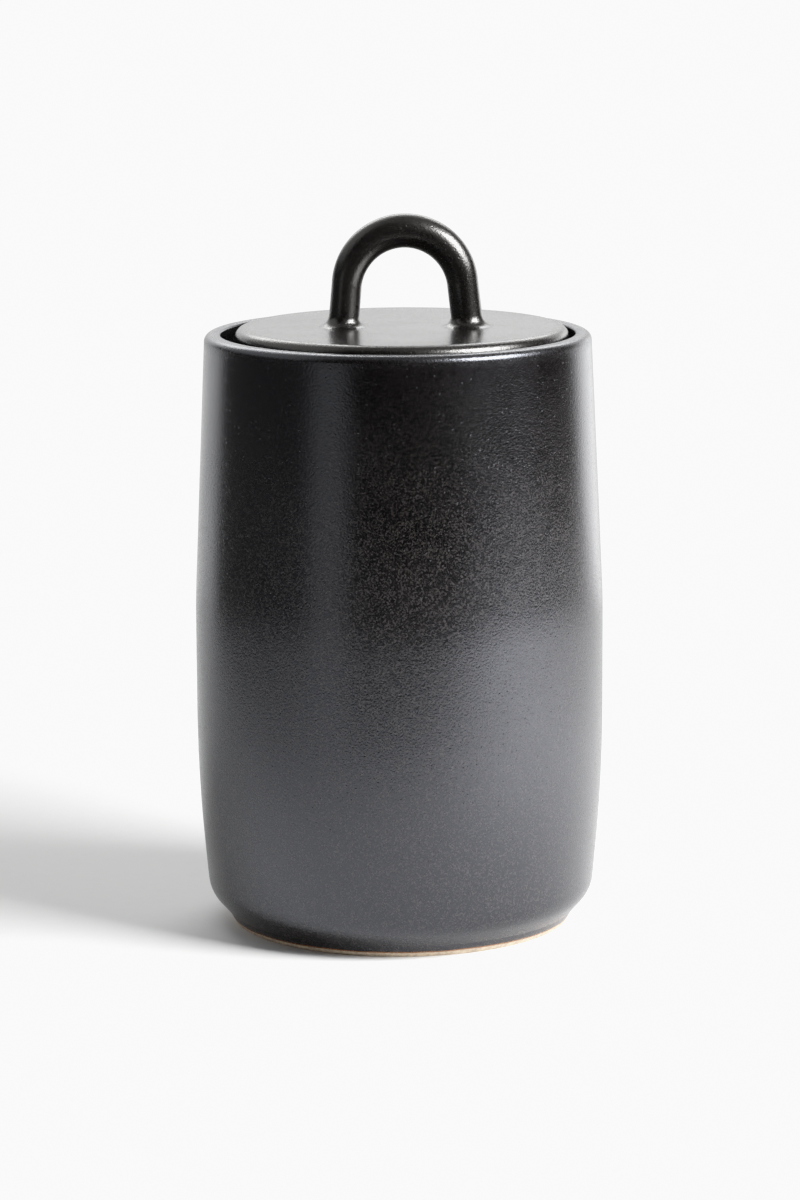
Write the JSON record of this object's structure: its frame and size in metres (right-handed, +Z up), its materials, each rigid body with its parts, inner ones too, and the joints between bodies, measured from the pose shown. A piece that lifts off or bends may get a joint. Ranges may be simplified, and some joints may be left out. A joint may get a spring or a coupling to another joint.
{
  "type": "lidded storage jar",
  "caption": "Tall round stoneware jar with a tucked foot and a flat drop-in lid that lifts off by a loop handle and turns in the mouth.",
  "frame": {"origin": "centre of the foot ring, on the surface the jar stands on", "axes": "+Z up along the jar's axis; the handle loop lies in the XZ plane and faces -Y, the front"},
  "size_m": [0.12, 0.12, 0.2096],
  "materials": {
    "body_glaze": "satin-matte charcoal glaze with a fine grain, bare clay at the foot",
    "lid_glaze": "satin-matte charcoal glaze with a fine grain",
    "handle_glaze": "satin charcoal glaze, a little smoother than the body",
    "seal_silicone": "soft translucent grey silicone"
  },
  "bodies": {
    "jar": {"jar_body": "body_glaze"},
    "seal": {"lid_seal": "seal_silicone"},
    "lid": {"lid": "lid_glaze", "lid_handle": "handle_glaze"}
  },
  "joints": [
    {"name": "lid_lift", "type": "slide", "parent": "jar", "child": "seal", "axis": [0, 0, 1], "range_m": [0, 0.12]},
    {"name": "lid_turn", "type": "hinge", "parent": "seal", "child": "lid", "pos_m": [0, 0, 0.1697], "axis": [0, 0, 1], "continuous": true}
  ]
}
